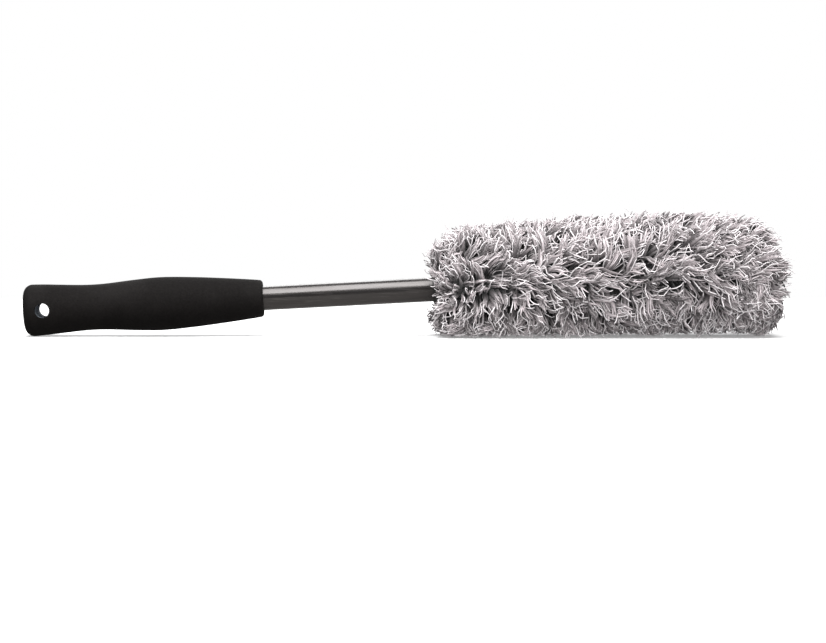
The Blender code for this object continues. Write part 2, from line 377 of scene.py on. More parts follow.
def moulded(name):
    # moulded plastic or rubber: fine spark texture, soft cloudy variation
    shade, light, roughness = mouldedKinds[name]
    material, net, spot = newMaterial(name, Specular_IOR_Level=0.5)
    cloud = net.spread(grain(net, spot, mouldedFinish["cloudScale"]), 0.35, 0.70)
    spark = grain(net, spot, mouldedFinish["sparkScale"], 3.0)
    looks(net, Base_Color=net.blend(cloud * 0.6 + spark * 0.3, shade, light),
          Roughness=roughness + cloud * 0.08 - spark * 0.06,
          Normal=bumpOf(net, spark, mouldedFinish["sparkDepth"]))
    return material


pinFinish = {"shade": (0.42, 0.42, 0.43), "light": (0.66, 0.66, 0.66), "roughness": 0.25,
             "stretch": (900.0, 40.0, 900.0), "lineScale": 3.0, "lineDepth": 0.00001}


def turnedSteel():
    # a plain pin, finely drawn along its length
    material, net, spot = newMaterial("pinSteel", Metallic=1.0)
    drawn = net.add("ShaderNodeMapping", Vector=spot, Scale=pinFinish["stretch"])
    lines = grain(net, drawn, pinFinish["lineScale"], 3.0)
    looks(net, Base_Color=net.blend(lines, pinFinish["shade"], pinFinish["light"]),
          Roughness=pinFinish["roughness"] + lines * 0.2,
          Normal=bumpOf(net, lines, pinFinish["lineDepth"]))
    return material


paddingFinish = {"skin": (0.62, 0.61, 0.57), "hole": (0.30, 0.29, 0.27), "roughness": 0.88,
                 "cellScale": 900.0, "cloudScale": 80.0, "cellDepth": 0.0003}


def openFoam():
    # open-cell padding: pale, with round open cells and painted shade in their hollows
    material, net, spot = newMaterial("openCellFoam", Specular_IOR_Level=0.2)
    # the darker hole colour is painted shade where the cells are hollow
    shadedPores = net.spread(cellsOf(net, spot, paddingFinish["cellScale"]), 0.25, 0.55)
    cloud = grain(net, spot, paddingFinish["cloudScale"])
    looks(net, Base_Color=net.blend(shadedPores, paddingFinish["skin"], paddingFinish["hole"]),
          Roughness=paddingFinish["roughness"] + cloud * 0.1,
          Normal=bumpOf(net, 1.0 - shadedPores, paddingFinish["cellDepth"]))
    return material


backingFinish = {"shade": (0.060, 0.058, 0.058), "light": (0.150, 0.145, 0.145),
                 "roughness": 0.95, "rowScale": 230.0, "loopScale": 800.0, "knitDepth": 0.0002}


def knitted():
    # knitted backing cloth: interlocked rows of small loops
    material, net, spot = newMaterial("backingCloth", Sheen_Weight=0.3, Specular_IOR_Level=0.2)
    rows = net.add("ShaderNodeTexWave", {"wave_type": "BANDS", "bands_direction": "X"}, out=1,
                   Vector=spot, Scale=backingFinish["rowScale"], Distortion=1.2, Detail=2.0)
    knit = rows * 0.6 + cellsOf(net, spot, backingFinish["loopScale"]) * 0.4
    looks(net, Base_Color=net.blend(knit, backingFinish["shade"], backingFinish["light"]),
          Roughness=backingFinish["roughness"] - knit * 0.1,
          Normal=bumpOf(net, knit, backingFinish["knitDepth"]))
    return material


threadFinish = {"roughness": 0.92, "plyScale": 700.0, "fuzzScale": 2200.0, "plyDepth": 0.00008}
threadKinds = {
    # shade, lighter shade
    "tieCord": ((0.020, 0.020, 0.020), (0.075, 0.072, 0.072)),
    "seamThread": ((0.16, 0.155, 0.155), (0.42, 0.41, 0.41)),
}


def twisted(name):
    # twisted thread or cord: fine plies
    material, net, spot = newMaterial(name, Sheen_Weight=0.2, Specular_IOR_Level=0.3)
    plies = net.add("ShaderNodeTexWave", {"wave_type": "BANDS", "bands_direction": "DIAGONAL"},
                    out=1, Vector=spot, Scale=threadFinish["plyScale"], Distortion=0.6)
    fuzz = grain(net, spot, threadFinish["fuzzScale"], 2.0)
    looks(net, Base_Color=net.blend(plies * 0.7 + fuzz * 0.3, *threadKinds[name]),
          Roughness=threadFinish["roughness"] - plies * 0.12,
          Normal=bumpOf(net, plies + fuzz * 0.4, threadFinish["plyDepth"]))
    return material


pileFinish = {
    # painted root shade, dark strand, light strand, painted tip highlight, how dark its stripes
    # are
    "pileLock": ((0.010, 0.0095, 0.0095), (0.062, 0.055, 0.057), (0.79, 0.705, 0.728),
                 (0.97, 0.890, 0.908), 0.8),
    "pileYarn": ((0.010, 0.0095, 0.0095), (0.062, 0.055, 0.057), (0.82, 0.735, 0.758),
                 (0.96, 0.885, 0.903), 0.0),
    "pileThread": ((0.06, 0.056, 0.056), (0.89, 0.820, 0.840), (0.98, 0.920, 0.935),
                   (0.98, 0.955, 0.965), 0.0),
}


def microfibre(name):
    # painted shade at the root, each strand its own grey, a mottled painted highlight at its tip
    root, dark, light, tipHighlight, stripes = pileFinish[name]
    material, net, spot = newMaterial(name, Sheen_Weight=0.25, Sheen_Roughness=0.5,
                                      Roughness=0.85, Specular_IOR_Level=0.25)

    def strand(what):
        return net.add("ShaderNodeAttribute", {"attribute_name": what}, out=2)

    height = strand("height")
    fleck = grain(net, spot, 900.0, 2.0)
    own = net.blend(net.spread(strand("tone"), 0.24, 0.66), dark, light)
    # a mottled painted highlight towards the strand's tip
    own = net.blend(net.spread(height, 0.45, 1.0) * net.spread(fleck, 0.3, 0.7), own, tipHighlight)
    if stripes:
        own = net.blend(strand("stripe") * stripes, own, dark)
    # painted shade towards the root, where the strands shade each other
    looks(net, Base_Color=net.blend(net.spread(height, 0.34, 0.88), root, own))
    return material


headStart = station("neck_pile")[0]
headEnd = station("tip_pile")[1]
coverStart = station("neck_backing")[0]
coverEnd = station("tip_backing")[1]
coverRadius = radiusOf("tip_backing")

pileForm = {
    "halfHeight": 0.0323,       # the oval that the tips fill out
    "halfDepth": 0.0350,
    "sag": 0.0018,
    "neckPower": 6.6,           # how square its ends are
    "tipPower": 2.8,
    "bottomPower": 9.0,
}

# the padded cover that the pile grows from
coverForm = {
    "rounding": 0.0070, "neckHole": 0.0092, "hem": 0.0004, "cloth": 0.0009, "clear": 0.0003,
    "seamAngle": 46.0, "seamGap": 1.0,      # degrees round the rounded edges
    "neckShare": 0.50, "tipShare": 0.70,    # of a square blank, that the end panels cover
}

# the way the pile is combed in side view, in degrees from +X, along the head
combing = {
    "above": ((0.0, 112.0), (0.12, 62.0), (0.35, 42.0), (0.52, 52.0), (0.68, 20.0),
              (0.85, -12.0), (1.0, -34.0)),
    "below": ((0.0, -138.0), (0.16, -112.0), (0.36, -74.0), (0.60, -60.0), (0.82, -82.0),
              (1.0, -88.0)),
    "partingSoftness": 0.45,
    "partingDrift": 0.5,        # along the axis, where the two ways meet
    "endFlare": 0.45,           # how far the end pile fans out from the axis
    "floorFlare": 2.8,          # and the pile that is pressed underneath
    "floorFrom": 0.45,
}

# soft locks of microfibre, loose strands over them, and pale curled threads on top
tuftForm = {"Tufts": 0.95e5, "Tuft Stray": 1.25, "Tuft Wander": 0.0055}
pileLayers = {
    "pileLock": {"Density": 0.34e6, "Radius": 0.00145, "Root": 0.40, "Tip": 0.14,
                 "Sides": 7, "Flat": 0.45, "Rings": 8, "Lay": 0.0150, "Stray": 0.35,
                 "Clump": 0.40, "Low": 0.62, "High": 1.06, "Curl": 0.0005, "Turns": 0.7,
                 "Wander": 0.0015, "Shortest": 0.80, "Floor": 0.0014, "Lift": 0.0030,
                 "Shaft": 0.0078},
    "pileYarn": {"Density": 0.48e6, "Radius": 0.00036, "Root": 0.8, "Tip": 0.40,
                 "Sides": 3, "Flat": 1.0, "Rings": 7, "Lay": 0.0150, "Stray": 0.30,
                 "Clump": 0.80, "Low": 0.55, "High": 1.0, "Curl": 0.0005, "Turns": 0.8,
                 "Wander": 0.0015, "Shortest": 0.75, "Floor": 0.0004, "Lift": 0.0034,
                 "Shaft": 0.0071},
    "pileThread": {"Density": 0.23e6, "Radius": 0.00038, "Root": 0.9, "Tip": 0.6,
                   "Sides": 3, "Flat": 1.0, "Rings": 11, "Lay": 0.0175, "Stray": 0.90,
                   "Clump": 0.40, "Low": 0.80, "High": 1.0, "Curl": 0.0020, "Turns": 1.2,
                   "Wander": 0.0050, "Shortest": 0.80, "Floor": 0.0003, "Lift": 0.0020,
                   "Shaft": 0.0070},
}
strandForm = {
    "risePower": 2.4, "sweepPower": 1.5,    # how soon a strand stands up and lies over
    "swellEnd": 0.4, "taperPower": 2.2,     # its thickness, from root to tip
    "tuftDrift": 90.0, "ownDrift": 170.0, "driftSpread": 9.0,
    "shaftFuzz": 0.0006,
}
seeds = {"first": 100, "roots": 7, "tuftLuck": 11, "luck": 23, "luckier": 31, "stripe": 3}
sectors = {"count": 4, "stepsRound": 18, "stepsAlong": 40, "mostCrowd": 8.0}

# how much shorter the pile stands on the end panels, and underneath towards the tip
endTrim = {"neck": 0.26, "tip": 0.24, "under": 0.10,
           "underFrom": (0.1, 0.6), "tipFrom": (0.3, 0.2)}      # start and width of each


def rising(value, start, over):
    # 0 up to the start, and 1 once it is passed by over
    return min(max((value - start) / over, 0.0), 1.0)


def insidePile(down, side, along):
    # whether a place in the brush's own axes is inside the oval and above the floor
    centre = (headStart + headEnd) / 2
    share = (along - centre) / ((headEnd - headStart) / 2)
    drop = (down - pileForm["sag"]) / pileForm["halfHeight"]
    spread = math.hypot(drop, side / pileForm["halfDepth"])
    below = 0.5 + 0.5 * drop / max(spread, 1e-6)
    top = pileForm["tipPower"] if share > 0 else pileForm["neckPower"]
    power = top + (pileForm["bottomPower"] - top) * below
    level = (brush @ Vector((down, side, along))).z
    return abs(share) ** power + spread ** power < 1.0 and level > 0.0


def reachFrom(spot, away):
    # distance from the cover to the pile's outside, by halving
    near = 0.0
    far = 0.06
    for _ in range(18):
        half = (near + far) / 2
        if insidePile(*(spot + away * half)):
            near = half
        else:
            far = half
    return near


def combAt(away, height, share):
    # the pile's lie at a place: swept up above the axis, hanging below it
    def lie(name):
        angle = math.radians(flowThrough(combing[name], share))
        return Vector((math.cos(angle), 0.0, math.sin(angle)))

    soft = combing["partingSoftness"]
    up = rising(height, -soft, 2 * soft)
    way = lie("above") * up + lie("below") * (1 - up)
    way = way + axisWay * combing["partingDrift"] * (1 - abs(2 * up - 1))
    endOn = abs(away.dot(axisWay))
    outward = Vector((0.0, away.y, away.z))
    way = way + outward * combing["endFlare"] * endOn
    under = max(-away.z - combing["floorFrom"], 0.0)
    way = way + Vector((0.0, away.y, 0.0)) * combing["floorFlare"] * under
    way = way - away * way.dot(away)
    return way.normalized() * min(way.length, 1.0) if way.length > 1e-6 else way


def coverOutline():
    # (radius, station, outward, along) round the padded cover, neck hole to tip
    rounding = coverForm["rounding"]
    hole = coverForm["neckHole"]
    flat = coverRadius - rounding
    length = coverEnd - coverStart - 2 * rounding
    steps = sectors["stepsAlong"]

    def edge(centre, start):
        turns = [math.radians(start + 90 * step / 6) for step in range(7)]
        return [(flat + rounding * math.cos(turn), centre + rounding * math.sin(turn),
                 math.cos(turn), math.sin(turn)) for turn in turns]

    outline = [(hole + (flat - hole) * step / 4, coverStart, 0.0, -1.0) for step in range(4)]
    outline += edge(coverStart + rounding, -90)
    outline += [(coverRadius, coverStart + rounding + length * step / steps, 1.0, 0.0)
                for step in range(1, steps)]
    outline += edge(coverEnd - rounding, 0)
    outline += [(flat * (1 - step / 4) + 0.0002, coverEnd, 0.0, 1.0) for step in range(1, 5)]
    return outline


def coverSector(name, index):
    # one slice of the cover, with what the strands on it need to know at each place
    stepsRound = sectors["stepsRound"]
    outline = coverOutline()
    spots, aways, combs, reaches = [], [], [], []
    for turn in range(stepsRound + 1):
        angle = 2 * math.pi * (index + turn / stepsRound) / sectors["count"]
        for radius, along, out, ahead in outline:
            spot = Vector((radius * math.cos(angle), radius * math.sin(angle), along))
            away = Vector((out * math.cos(angle), out * math.sin(angle), ahead))
            worldAway = (brush.to_3x3() @ away).normalized()
            share = (along - coverStart) / (coverEnd - coverStart)
            height = -math.cos(angle) * (radius / coverRadius)
            spots.append(brush @ spot)
            aways.append(worldAway)
            combs.append(combAt(worldAway, height, share))
            shorter = max(-ahead, 0.0) * endTrim["neck"] + max(ahead, 0.0) * endTrim["tip"]
            under = rising(-worldAway.z, *endTrim["underFrom"])
            shorter += under * endTrim["under"] * rising(share, *endTrim["tipFrom"])
            reaches.append(reachFrom(spot, away) * (1 - shorter))
    rows = len(outline)
    corners = [turn * rows + step for turn in range(stepsRound) for step in range(rows - 1)]
    faces = [(corner, corner + 1, corner + 1 + rows, corner + rows) for corner in corners]
    mesh = bpy.data.meshes.new(name)
    mesh.from_pydata(spots, [], faces)

    # the pile fans out, so more strands start where its outside is wider than the cloth
    tips = [spot + away * reach for spot, away, reach in zip(spots, aways, reaches)]
    growth = [0.0] * len(spots)
    shares = [0] * len(spots)
    for face in faces:
        wide = areaOf([tips[corner] for corner in face])
        ratio = wide / max(areaOf([spots[corner] for corner in face]), 1e-12)
        for corner in face:
            growth[corner] += min(ratio, sectors["mostCrowd"])
            shares[corner] += 1
    crowd = [total / max(count, 1) / 2.0 for total, count in zip(growth, shares)]
    storeVectors(mesh, "away", aways)
    storeVectors(mesh, "comb", combs)
    for title, values in (("reach", reaches), ("crowd", crowd)):
        mesh.attributes.new(title, "FLOAT", "POINT").data.foreach_set("value", values)
    return newObject(name, mesh)


def storeVectors(mesh, title, values):
    layer = mesh.attributes.new(title, "FLOAT_VECTOR", "POINT")
    layer.data.foreach_set("vector", [part for value in values for part in value])


def areaOf(corners):
    first = (corners[2] - corners[0]).cross(corners[3] - corners[1])
    return first.length / 2


def readNamed(net, name, kind="FLOAT"):
    return net.add("GeometryNodeInputNamedAttribute", {"data_type": kind}, Name=name)


def storeNamed(net, geometry, name, value, kind="FLOAT"):
    return net.add("GeometryNodeStoreNamedAttribute", {"data_type": kind, "domain": "POINT"},
                   Geometry=geometry, Name=name, Value=value)


def chance(net, seed, kind="FLOAT_VECTOR", **sockets):
    # random numbers from 0 to 1
    return net.add("FunctionNodeRandomValue", {"data_type": kind}, out="Value", Seed=seed,
                   **sockets)


def newTree(name, settings):
    # a Geometry Nodes tree with a named input for each setting
    kinds = {int: "Int", float: "Float", tuple: "Vector", bpy.types.Material: "Material"}
    tree = bpy.data.node_groups.new(name, "GeometryNodeTree")
    tree.is_modifier = True
    for way in ("INPUT", "OUTPUT"):
        tree.interface.new_socket("Geometry", in_out=way, socket_type="NodeSocketGeometry")
    for title, value in settings.items():
        tree.interface.new_socket(title, in_out="INPUT",
                                  socket_type="NodeSocket" + kinds[type(value)])
    net = Net(tree)
    given = tree.nodes.new("NodeGroupInput")
    return net, {socket.name: Wire(net, socket) for socket in given.outputs if socket.name}


def finished(net, geometry, material):
    # every tree ends as a plain mesh in its material
    made = net.add("GeometryNodeRealizeInstances", Geometry=geometry)
    made = net.add("GeometryNodeSetMaterial", Geometry=made, Material=material)
    net.plug(net.tree.nodes.new("NodeGroupOutput").inputs[0], made)
    return net.tree


def pileTree(settings):
    # strands grown from a surface that carries away, comb, reach and crowd
    net, given = newTree("microfibrePile", settings)
    vector = "FLOAT_VECTOR"
    seed = given["Seed"]
    surface = given["Geometry"]
    crowd = readNamed(net, "crowd")
    spot = net.add("GeometryNodeInputPosition")

    # tufts first, then strands that each belong to the nearest tuft
    tufts = net.add("GeometryNodeDistributePointsOnFaces", Mesh=surface,
                    Density=given["Tufts"] * crowd, Seed=seed)
    points = net.add("GeometryNodeDistributePointsOnFaces", Mesh=surface,
                     Density=given["Density"] * crowd, Seed=seed + seeds["roots"])
    nearest = net.add("GeometryNodeSampleNearest", Geometry=tufts)

    def fromTuft(what, kind=vector):
        return net.add("GeometryNodeSampleIndex", {"data_type": kind}, Geometry=tufts,
                       Value=what, Index=nearest)

    kept = (("root", spot, vector), ("tuftRoot", fromTuft(spot), vector),
            ("tuftAway", fromTuft(readNamed(net, "away", vector)), vector),
            ("tuftComb", fromTuft(readNamed(net, "comb", vector)), vector),
            ("tuftReach", fromTuft(readNamed(net, "reach"), "FLOAT"), "FLOAT"),
            ("tuftLuck", chance(net, seed + seeds["tuftLuck"], ID=nearest), vector),
            ("luck", chance(net, seed + seeds["luck"]), vector),
            ("luckier", chance(net, seed + seeds["luckier"]), vector))
    for name, what, kind in kept:
        points = storeNamed(net, points, name, what, kind)

    line = net.add("GeometryNodeResampleCurve", Curve=net.add("GeometryNodeCurvePrimitiveLine"),
                   Count=given["Rings"])
    strands = net.add("GeometryNodeInstanceOnPoints", Points=points, Instance=line)
    strands = net.add("GeometryNodeRealizeInstances", Geometry=strands)

    # every strand's course, from root to tip
    luckA, luckB, luckC = net.parts(readNamed(net, "luck", vector))
    luckD, luckE, luckF = net.parts(readNamed(net, "luckier", vector))
    tuftA, tuftB, tuftC = net.parts(readNamed(net, "tuftLuck", vector))
    along = net.add("GeometryNodeSplineParameter")
    shortest = given["Shortest"]
    t = along * (shortest + (1.0 - shortest) * luckA)
    bend = (tuftA - 0.5) * 2.0 * given["Tuft Stray"]
    tall = given["Low"] + (given["High"] - given["Low"]) * tuftB ** 0.6

    def course(root, away, comb, reach, bent):
        lie = net.add("ShaderNodeVectorRotate", Vector=comb, Axis=away, Angle=bent)
        rise = 1.0 - (1.0 - t) ** strandForm["risePower"]
        sweep = t ** strandForm["sweepPower"]
        return root + away * (reach * tall * rise) + lie * (given["Lay"] * sweep)

    away = readNamed(net, "away", vector)
    comb = readNamed(net, "comb", vector)
    own = course(readNamed(net, "root", vector), away, comb, readNamed(net, "reach"),
                 bend + (luckB - 0.5) * 2.0 * given["Stray"])
    shared = course(readNamed(net, "tuftRoot", vector), readNamed(net, "tuftAway", vector),
                    readNamed(net, "tuftComb", vector), readNamed(net, "tuftReach"), bend)
    path = net.blend(given["Clump"] * t, own, shared, "VECTOR")

    # curl about the strand's own course, and a slower wander
    side = net.maths("NORMALIZE", net.maths("CROSS_PRODUCT", away, comb + (0.01, 0.02, 0.03)))
    turn = (t * given["Turns"] * (0.6 + luckD * 0.8) + luckC) * (2 * math.pi)
    curl = given["Curl"] * t * (0.4 + luckE * 1.2)
    path = path + side * (net.maths("SINE", turn) * curl)
    path = path + away * (net.maths("COSINE", turn) * curl * 0.6)
    drifts = (("Tuft Wander", tuftB, "tuftDrift"), ("Wander", luckF, "ownDrift"))
    for amount, whose, size in drifts:
        drift = net.add("ShaderNodeTexNoise", {"noise_dimensions": "4D"}, out="Color",
                        Detail=1.0, Vector=path, W=whose * strandForm["driftSpread"],
                        Scale=strandForm[size])
        path = path + (drift - (0.5, 0.5, 0.5)) * (given[amount] * 2.0 * t)

    # off the shaft, and never below the floor
    fromAxis = path - given["Axis Start"]
    ahead = net.maths("DOT_PRODUCT", fromAxis, given["Axis Way"])
    outwards = fromAxis - given["Axis Way"] * ahead
    distance = net.maths("LENGTH", outwards)
    beside = net.maths("LESS_THAN", ahead, given["Neck"])
    nearest = (given["Shaft"] + luckD * strandForm["shaftFuzz"]) * beside
    room = net.maths("MAXIMUM", distance, nearest)
    path = given["Axis Start"] + given["Axis Way"] * ahead + outwards * (room / distance)
    x, y, z = net.parts(path)
    lowest = given["Floor"] + luckE * given["Lift"]
    path = net.add("ShaderNodeCombineXYZ", X=x, Y=y, Z=net.maths("MAXIMUM", z, lowest))

    strands = net.add("GeometryNodeSetPosition", Geometry=strands, Position=path)
    strands = storeNamed(net, strands, "height", along)
    strands = storeNamed(net, strands, "tone", tuftC * 0.8 + luckD * 0.2)
    strands = net.add("GeometryNodeSetCurveTilt", Curve=strands, Tilt=luckC * (2 * math.pi))
    width = given["Radius"] * (0.75 + luckF * 0.5)
    swell = given["Root"] + (1.0 - given["Root"]) * net.spread(along, 0.0, strandForm["swellEnd"])
    taper = swell * (1.0 - (1.0 - given["Tip"]) * along ** strandForm["taperPower"])
    ring = net.add("GeometryNodeCurvePrimitiveCircle", Resolution=given["Sides"], Radius=1.0)
    ring = storeNamed(net, ring, "stripe", chance(net, seeds["stripe"], "FLOAT"))
    oval = net.add("ShaderNodeCombineXYZ", X=1.0, Y=given["Flat"], Z=1.0)
    ring = net.add("GeometryNodeTransform", Geometry=ring, Scale=oval)
    tubes = net.add("GeometryNodeCurveToMesh", Curve=strands, Profile_Curve=ring,
                    Scale=width * taper, Fill_Caps=True)
    tubes = net.add("GeometryNodeSetShadeSmooth", Geometry=tubes)
    return finished(net, tubes, given["Material"])


def grown(name, emitter, tree, settings):
    # runs a tree on an object and returns the result as a plain mesh object
    modifier = emitter.modifiers.new("grow", "NODES")
    modifier.node_group = tree
    for item in tree.interface.items_tree:
        if item.in_out == "INPUT" and item.name in settings:
            modifier[item.identifier] = settings[item.name]
    graph = bpy.context.evaluated_depsgraph_get()
    mesh = bpy.data.meshes.new_from_object(emitter.evaluated_get(graph),
                                           preserve_all_data_layers=True, depsgraph=graph)
    mesh.name = name
    bpy.data.objects.remove(emitter, do_unlink=True)
    return newObject(name, mesh)


def makePile():
    tree = None
    for name, layer in pileLayers.items():
        material = microfibre(name)
        for index in range(sectors["count"]):
            settings = {**layer, **tuftForm, "Axis Start": tuple(gripEnd),
                        "Axis Way": tuple(axisWay), "Neck": coverStart + 0.004,
                        "Seed": seeds["first"] + index, "Material": material}
            tree = tree or pileTree(settings)
            emitter = coverSector(f"{name}Ground{index + 1}", index)
            piece = grown(f"{name}{index + 1}", emitter, tree, settings)
            settled(piece, "pile_microfibre", "neck_pile", "body_pile", "tip_pile")
            count = sum(len(polygon.vertices) - 2 for polygon in piece.data.polygons)
            print("stage:", piece.name, count, "triangles")


makePile()
print("stage: pile made,", len(pileLayers) * sectors["count"], "pieces")


gripForm = {
    # (station, radius) along its side, from the rear edge to the front one
    "side": ((0.0046, 0.01290), (0.011, 0.01265), (0.019, 0.01210), (0.031, 0.01140),
             (0.041, 0.01152), (0.055, 0.01260), (0.069, 0.01328), (0.086, 0.01240),
             (0.102, 0.01100), (0.1145, 0.00970), (0.1178, 0.00930)),
    "rearRounding": 0.0046,
    "frontRounding": 0.0017,
    "holeRadius": 0.0036,
    "holeFlare": 0.0005,
    "holeStation": 0.0098,
    "clear": 0.00025,           # round the tube, in the blind bore
    "boreEdge": 0.0006,
}


def flowing(knots, steps):
    # Catmull-Rom curve through (station, radius) knots, given back as (radius, station)
    ends = [knots[0], *knots, knots[-1]]
    points = []
    for index in range(1, len(ends) - 2):
        before, first, second, after = ends[index - 1:index + 3]
        for step in range(steps):
            t = step / steps
            here = [0.5 * (2 * b + (c - a) * t + (2 * a - 5 * b + 4 * c - d) * t ** 2
                           + (3 * b - a - 3 * c + d) * t ** 3)
                    for a, b, c, d in zip(before, first, second, after)]
            points.append((here[1], here[0]))
    points.append((knots[-1][1], knots[-1][0]))
    return points


def carved(piece, cutter):
    # cuts a solid out of a piece and leaves a plain mesh
    modifier = piece.modifiers.new("cut", "BOOLEAN")
    modifier.operation = "DIFFERENCE"
    modifier.object = cutter
    graph = bpy.context.evaluated_depsgraph_get()
    mesh = bpy.data.meshes.new_from_object(piece.evaluated_get(graph), depsgraph=graph)
    piece.modifiers.remove(modifier)
    old = piece.data
    piece.data = mesh
    bpy.data.meshes.remove(old)
    bpy.data.objects.remove(cutter, do_unlink=True)
    return smoothed(piece)


def makeGrip():
    # closed-cell foam: rounded ends, a waist, a belly, a blind bore and the hang hole
    start, end = station("grip_sleeve")
    bore = radiusOf("shaft_tube") + gripForm["clear"]
    boreEnd = station("tube_end_plug")[0] - gripForm["clear"]
    rear = gripForm["rearRounding"]
    front = gripForm["frontRounding"]
    side = flowing(gripForm["side"], 7)
    edge = side[0][0]
    lip = side[-1][0]
    profile = [(0.0, start)]
    profile += arcPoints(edge - rear, start + rear, rear, -90, -6, 9)
    profile += side
    profile += arcPoints(lip - front, end - front, front, 6, 90, 6)
    mouth = gripForm["boreEdge"]
    profile += [(bore + mouth, end), (bore, end - mouth), (bore, boreEnd), (0.0, boreEnd)]
    grip = turned("gripFoam", profile)
    hole = gripForm["holeRadius"]
    flare = gripForm["holeFlare"]
    reach = 2 * edge
    course = [(0.0, -reach), (hole + 3 * flare, -reach), (hole + 3 * flare, -edge - flare)]
    for step in range(7):
        turn = math.radians(90 * step / 6)
        course.append((hole + flare * (1 - math.sin(turn)), -edge + flare * (1 - math.cos(turn))))
    course += [(radius, -along) for radius, along in reversed(course)]
    cutter = turned("hangHoleCutter", course, steps=48)
    upright = Matrix.Rotation(math.pi / 2, 4, brush.to_3x3() @ Vector((1.0, 0.0, 0.0)))
    centre = brush @ Vector((0.0, 0.0, gripForm["holeStation"]))
    cutter.data.transform(Matrix.Translation(centre) @ upright @ Matrix.Translation(-gripEnd))
    dressed(carved(grip, cutter), foamSkin())
    settled(grip, "grip_foam", "grip_sleeve")


shaftForm = {"wall": 0.0010, "edge": 0.0003}


def makeShaft():
    start, end = station("shaft_tube")
    outer = radiusOf("shaft_tube")
    inner = outer - shaftForm["wall"]
    outline = [(outer, start), (outer, end), (inner, end), (inner, start)]
    tube = turned("shaftTube", softEdged(outline, shaftForm["edge"]), closed=True)
    dressed(tube, shaftGloss())
    settled(tube, "shaft_gloss", "shaft_tube")


collarForm = {
    "tucked": 0.0030,           # how far its lip sits back under the pile
    "lip": 0.0064, "lipFlare": 0.0003, "coneStart": 0.0012, "coneEnd": 0.0026,
    "groove": 0.0073, "grooveStart": 0.0033, "grooveEnd": 0.0053,
    "edge": 0.0004, "clear": 0.0002,
}


def makeCollar():
    # rubber ferrule at the neck: a lip, a cone, a groove for the tie, a straight front part
    start, end = station("neck_collar")
    start += collarForm["tucked"]
    outer = radiusOf("neck_collar")
    bore = radiusOf("shaft_tube") + collarForm["clear"]
    lip = collarForm["lip"]
    groove = collarForm["groove"]
    coneStart, coneEnd, grooveStart, grooveEnd = (
        start + collarForm[name] for name in ("coneStart", "coneEnd", "grooveStart", "grooveEnd"))
    outline = [(bore, start), (lip, start), (lip + collarForm["lipFlare"], coneStart),
               (outer, coneEnd), (outer, grooveStart), (groove, grooveStart),
               (groove, grooveEnd), (outer, grooveEnd), (outer, end), (bore, end)]
    collar = turned("neckCollar", softEdged(outline, collarForm["edge"]), closed=True)
    dressed(collar, moulded("collarRubber"))
    settled(collar, "collar_rubber", "neck_collar")


tieForm = {"plies": 2, "ply": 0.00034, "offset": 0.00027, "twists": 34, "twistSteps": 12,
           "sides": 7}


def makeTie():
    # two plies twisted together and drawn round the collar's groove
    low, high = station("neck_tie")
    along = (low + high) / 2
    centre = radiusOf("neck_tie") - (high - low) / 2
    ply = tieForm["ply"]
    offset = tieForm["offset"]
    steps = tieForm["twists"] * tieForm["twistSteps"]
    sides = tieForm["sides"]
    form = bmesh.new()
    for strand in range(tieForm["plies"]):
        rings = []
        for step in range(steps):
            turn = 2 * math.pi * step / steps
            twist = tieForm["twists"] * turn + math.pi * strand
            out = Vector((math.cos(turn), math.sin(turn), 0.0))
            heart = (out * (centre + offset * math.cos(twist))
                     + Vector((0.0, 0.0, along + offset * math.sin(twist))))
            ring = []
            for side in range(sides):
                angle = 2 * math.pi * side / sides
                ring.append(form.verts.new(heart + out * ply * math.cos(angle)
                                           + Vector((0, 0, ply * math.sin(angle)))))
            rings.append(ring)
        for here, following in zip(rings, rings[1:] + rings[:1]):
            for side in range(sides):
                other = (side + 1) % sides
                form.faces.new((here[side], following[side], following[other], here[other]))
    tie = onAxis("neckTie", form)
    dressed(tie, twisted("tieCord"))
    settled(tie, "tie_cord", "neck_tie")


def skinRadius(along, inset):
    # radius of the padded cover's surface at a station, or of a layer under it
    rounding = coverForm["rounding"]
    edge = min(along - coverStart, coverEnd - along)
    if edge >= rounding:
        return coverRadius - inset
    rise = (rounding - inset) ** 2 - (rounding - edge) ** 2
    return coverRadius - rounding + math.sqrt(max(rise, 0.0))


def roundedPart(inset, towards, start, end, count=8):
    # part of the cover's rounded edge; towards is -1 at the neck and 1 at the tip
    rounding = coverForm["rounding"]
    centre = coverStart + rounding if towards < 0 else coverEnd - rounding
    return arcPoints(coverRadius - rounding, centre, rounding - inset, start * towards,
                     end * towards, count)


def makeCover():
    # three panels of backing cloth, sewn together where the padding rounds over
    cloth = coverForm["cloth"]
    weave = knitted()
    seam = coverForm["seamAngle"]
    gap = coverForm["seamGap"]
    hole = coverForm["neckHole"] - coverForm["hem"]

    def shell(name, outside, inside, ring, flat, node):
        panel = turned(name, outside + inside[::-1], closed=ring)
        dressed(panel, weave)
        settled(panel, "backing_cloth", node)

    def body(inset):
        return roundedPart(inset, -1, seam - gap, 0) + roundedPart(inset, 1, 0, seam - gap)

    def neck(inset):
        return [(hole, coverStart + inset)] + roundedPart(inset, -1, 90, seam + gap)

    def tip(inset):
        return [(0.0, coverEnd - inset)] + roundedPart(inset, 1, 90, seam + gap)

    girth = 2 * math.pi * coverRadius
    across = 2 * coverRadius
    shell("bodyBacking", body(0.0), body(cloth), True, (girth, coverEnd - coverStart),
          "body_backing")
    shell("neckBacking", neck(0.0), neck(cloth), True, (across, across), "neck_backing")
    shell("tipBacking", tip(0.0), tip(cloth), False, (across, across), "tip_backing")


paddingForm = {"roundedEnd": 0.006, "steps": 6, "neckSteps": 5}


